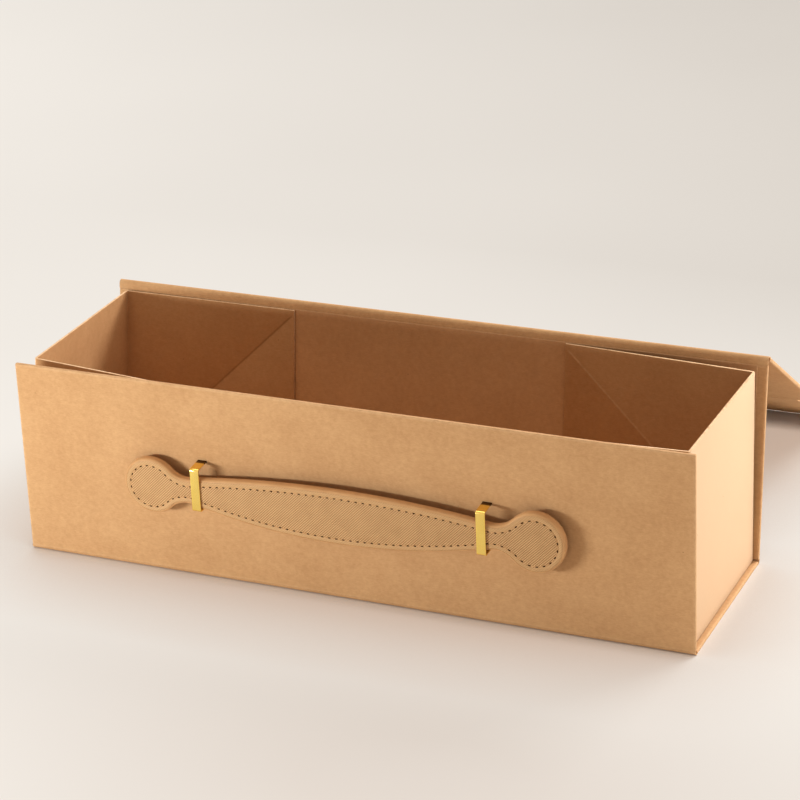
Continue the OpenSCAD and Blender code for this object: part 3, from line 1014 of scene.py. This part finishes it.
# A strip of metal bent round the strap, its legs through the panel and its prongs turned
# away from each other behind it
def makeLoop(name, side):
    x = strap["centreX"] + side * loops["pitch"] / 2
    face = -case["depth"] / 2 - loops["reach"]
    inside = -case["depth"] / 2 + case["board"]
    low, high = loopLow, loopLow + loops["height"]
    metal = loops["metal"]
    loop = addPlane(name, (x, face, (low + high) / 2), (math.pi / 2, 0, 0), loops["width"], high - low)
    pick(loop, "EDGE", lambda middle, along: abs(along.x) > 0.9)
    bpy.ops.mesh.extrude_region_move(TRANSFORM_OT_translate={"value": (0, inside - metal - face, 0)})
    for up in (-1, 1):
        pick(loop, "EDGE", lambda middle, along: abs(along.x) > 0.9 and middle.y > inside - metal - tiny
             and (middle.z - loopMiddle) * up > 0)
        bpy.ops.mesh.extrude_region_move(
            TRANSFORM_OT_translate={"value": (0, 0, up * loops["prong"])})
    pick(loop, "EDGE", lambda middle, along: abs(along.x) > 0.9 and middle.y < face + tiny)
    bpy.ops.mesh.bevel(offset=loops["bend"], segments=6)
    pick(loop, "FACE", lambda middle, normal: True)
    bpy.ops.mesh.normals_make_consistent(inside=False)
    bpy.ops.object.mode_set(mode="OBJECT")
    front = [polygon for polygon in loop.data.polygons if polygon.center.y < face + tiny][0]
    if front.normal.y > 0:
        pick(loop, "FACE", lambda middle, normal: True)
        bpy.ops.mesh.flip_normals()
    finishWith(loop, "SOLIDIFY", thickness=metal, offset=-1, use_even_offset=True)
    finishWith(loop, "BEVEL", width=loops["edgeRound"], segments=3, limit_method="ANGLE",
               angle_limit=math.radians(50))

    # painted reflection: the upper leg's rear part is painted dark, for the dark slit it mirrors
    only(loop)
    loop.location = (0, *turned(0, 0, frontFold, case["frontLean"]))
    for y in (loops["shade"], loops["shade"] - loops["shadeSoft"]):
        pick(loop, "FACE", lambda middle, normal: middle.z > loopMiddle)
        bpy.ops.mesh.bisect(plane_co=(0, -case["depth"] / 2 - y, 0), plane_no=(0, 1, 0))
    bpy.ops.object.mode_set(mode="OBJECT")
    deep = loop.data.attributes.new("deep", "FLOAT", "POINT")
    for index, vertex in enumerate(loop.data.vertices):
        near = (vertex.co.y + case["depth"] / 2 + loops["shade"]) / loops["shadeSoft"]
        upper = vertex.co.z > loopMiddle
        deep.data[index].value = min(max(near, 0), 1) if upper else 0
    loop.rotation_euler.x = math.radians(case["frontLean"])
    bpy.ops.object.transform_apply(location=True, rotation=True, scale=True)
    smooth(loop, 35)
    return loop


dress(makeLoop("leftLoop", -1), "case", "gold_metal", loopGold, "left_loop")
dress(makeLoop("rightLoop", 1), "case", "gold_metal", loopGold, "right_loop")
for name in ("left_panel_magnet", "right_panel_magnet", "left_flap_magnet", "right_flap_magnet"):
    magnet = frame["nodes"][name]
    magnet.data.materials.clear()
    magnet.data.materials.append(magnetSteel)
print("loops made")


studio = {
    "floor": tone(226, 221, 214),
    "bright": tone(243, 238, 231),
    "dim": tone(196, 189, 181),
    "pool": tone(224, 213, 203),
    "warm": tone(206, 175, 152),
    "ownLight": 0.8,
    "contact": 12 * mm,
    "glow": 80 * mm,
    "world": tone(238, 221, 204),
    "worldStrength": 0.4,
    "size": 14,
    "slant": 0.35,
    "farFrom": -0.4,
    "farTo": 0.3,
    "behindFrom": 0.05,
    "behindTo": 0.45,
    "cloudSize": 0.5,
    "poolShift": (-0.35, 1.1, 0),
    "poolScale": (3.6, 5.2, 1),
    "warmShare": 0.8,
}


# 1 for what the camera sees, also by way of metal or glass, and 0 for light on other things
def seenOrMirrored(tree):
    rays = node(tree, "LightPath", {}).outputs
    seen = combine(tree, "ADD", rays["Is Camera Ray"], rays["Is Glossy Ray"])
    return combine(tree, "ADD", seen, rays["Is Transmission Ray"])


# The floor takes light and shadow as plain card. The camera and the metal also see a pale
# tone of its own in it, with painted shade: dimmer far behind and in front (a painted
# shadow pool), a painted warm shadow near the box, and a painted contact shadow where it
# fades where something stands close
def makeFloor():
    bpy.ops.object.select_all(action="DESELECT")
    bpy.ops.mesh.primitive_plane_add(size=studio["size"], location=(0, 0, 0))
    floor = named("floor")
    material, shader = newMaterial("paleFloor", 0.6, specular=0.2)
    shader.inputs["Base Color"].default_value = studio["floor"]
    tree = material.node_tree
    coords = node(tree, "TexCoord", {}).outputs["Object"]
    place = node(tree, "SeparateXYZ", {"Vector": coords})
    slanted = combine(tree, "MULTIPLY", place.outputs["Y"], studio["slant"])
    across = combine(tree, "ADD", place.outputs["X"], slanted)
    # painted shade: the own tone is dimmer far behind, towards the right
    far = spread(tree, across, studio["farFrom"], studio["farTo"])
    behind = spread(tree, place.outputs["Y"], studio["behindFrom"], studio["behindTo"])
    cloud = noiseOf(tree, coords, studio["cloudSize"], 2)
    shade = combine(tree, "MULTIPLY", far, behind)
    shade = combine(tree, "ADD", shade, spread(tree, cloud, 0.3, 0.7, -0.06, 0.06))
    shade = clamped(tree, shade)
    colour = mixed(tree, shade, studio["bright"], studio["dim"])
    # painted shadow: a dimmer pool of the own tone in front of the box
    shadowPoolPlace = {"Vector": coords, "Location": studio["poolShift"], "Scale": studio["poolScale"]}
    inShadowPool = node(tree, "Mapping", shadowPoolPlace).outputs[0]
    distance = node(tree, "VectorMath", {0: inShadowPool}, operation="LENGTH").outputs["Value"]
    colour = mixed(tree, spread(tree, distance, 0.2, 1.15, 1, 0), colour, studio["pool"])
    # painted shadow: a warm, darker own tone near the box, found by ambient occlusion
    openForWarmShadow = node(tree, "AmbientOcclusion", {"Distance": studio["glow"]}, samples=10).outputs["AO"]
    colour = mixed(tree, spread(tree, openForWarmShadow, 0.45, 1, studio["warmShare"], 0), colour, studio["warm"])
    own = node(tree, "Emission", {"Color": colour}).outputs[0]
    seen = seenOrMirrored(tree)
    # contact shadow, partly painted: the own tone fades close to what stands on the floor, where the card's
    # own light and shadow show
    openness = node(tree, "AmbientOcclusion", {"Distance": studio["contact"]}, samples=8).outputs["AO"]
    amount = combine(tree, "MULTIPLY", seen, spread(tree, openness, 0.3, 0.95, 0, studio["ownLight"]))
    both = node(tree, "MixShader", {0: amount, 1: shader.outputs[0], 2: own}).outputs[0]
    tree.links.new(both, tree.nodes["Material Output"].inputs["Surface"])
    floor.data.materials.append(material)


lamps = {
    "leftLamp": {
        "place": (-0.4, -0.49, 0.1), "target": (-0.04, -0.055, 0.055), "size": (0.2, 0.05),
        "power": 2.6, "colour": (0.92, 0.98, 1),
    },
    "rightLamp": {
        "place": (1.0, 0.05, 0.1), "target": (0.15, 0.03, 0.05), "size": (0.45, 0.09),
        "power": 3.4, "colour": (0.92, 0.96, 1),
    },
    "topLamp": {
        "place": (0.0, 0.2, 1.5), "target": (0, 0.0, 0), "size": (1.6, 1.2),
        "power": 12, "colour": (1, 0.97, 0.93),
    },
    "backLamp": {
        "place": (0.6, 1.05, 0.9), "target": (0.1, 0.1, 0.05), "size": (0.7, 0.45),
        "power": 23, "colour": (0.95, 0.98, 1),
    },
}


def addLamp(name, settings):
    light = bpy.data.lights.new(name, "AREA")
    light.shape = "RECTANGLE"
    light.size, light.size_y = settings["size"]
    light.energy = settings["power"]
    light.color = settings["colour"]
    lamp = bpy.data.objects.new(name, light)
    bpy.context.scene.collection.objects.link(lamp)
    lamp.location = settings["place"]
    away = Vector(settings["place"]) - Vector(settings["target"])
    lamp.rotation_euler = away.to_track_quat("Z", "Y").to_euler()


makeFloor()
for name, settings in lamps.items():
    addLamp(name, settings)

# The world is dim for the card and pale for what the metal mirrors
world = bpy.data.worlds.new("studioWorld")
bpy.context.scene.world = world
world.use_nodes = True
background = world.node_tree.nodes["Background"]
background.inputs["Color"].default_value = studio["world"]
strength = spread(world.node_tree, seenOrMirrored(world.node_tree), 0, 1, studio["worldStrength"], 1)
world.node_tree.links.new(strength, background.inputs["Strength"])

# The camera that was fitted to the photo, which is a crop: the middle of its lens lies off
# the picture's left edge. Places are in metres, turns in radians and the rest in pixels.
view = {
    "place": (0.55626, -1.39402, 0.70325),
    "yaw": 0.51268,
    "pitch": -0.37851,
    "roll": 0.06764,
    "focal": 3234.15,
    "pictureWidth": 800,
    "middle": (-16.43, 378.04),
}
lens = bpy.data.cameras.new("camera")
lens.sensor_width = 36
lens.lens = view["focal"] * lens.sensor_width / view["pictureWidth"]
lens.shift_x = 0.5 - view["middle"][0] / view["pictureWidth"]
lens.shift_y = view["middle"][1] / view["pictureWidth"] - 0.5
camera = bpy.data.objects.new("camera", lens)
bpy.context.scene.collection.objects.link(camera)
camera.location = view["place"]
camera.rotation_euler = (
    Matrix.Rotation(view["yaw"], 3, "Z") @ Matrix.Rotation(view["pitch"], 3, "X")
    @ Matrix.Rotation(view["roll"], 3, "Y") @ Matrix.Rotation(math.pi / 2, 3, "X")
).to_euler()
bpy.context.scene.camera = camera
bpy.context.scene.view_settings.view_transform = "Standard"
print("studio made")

bpy.context.view_layer.update()
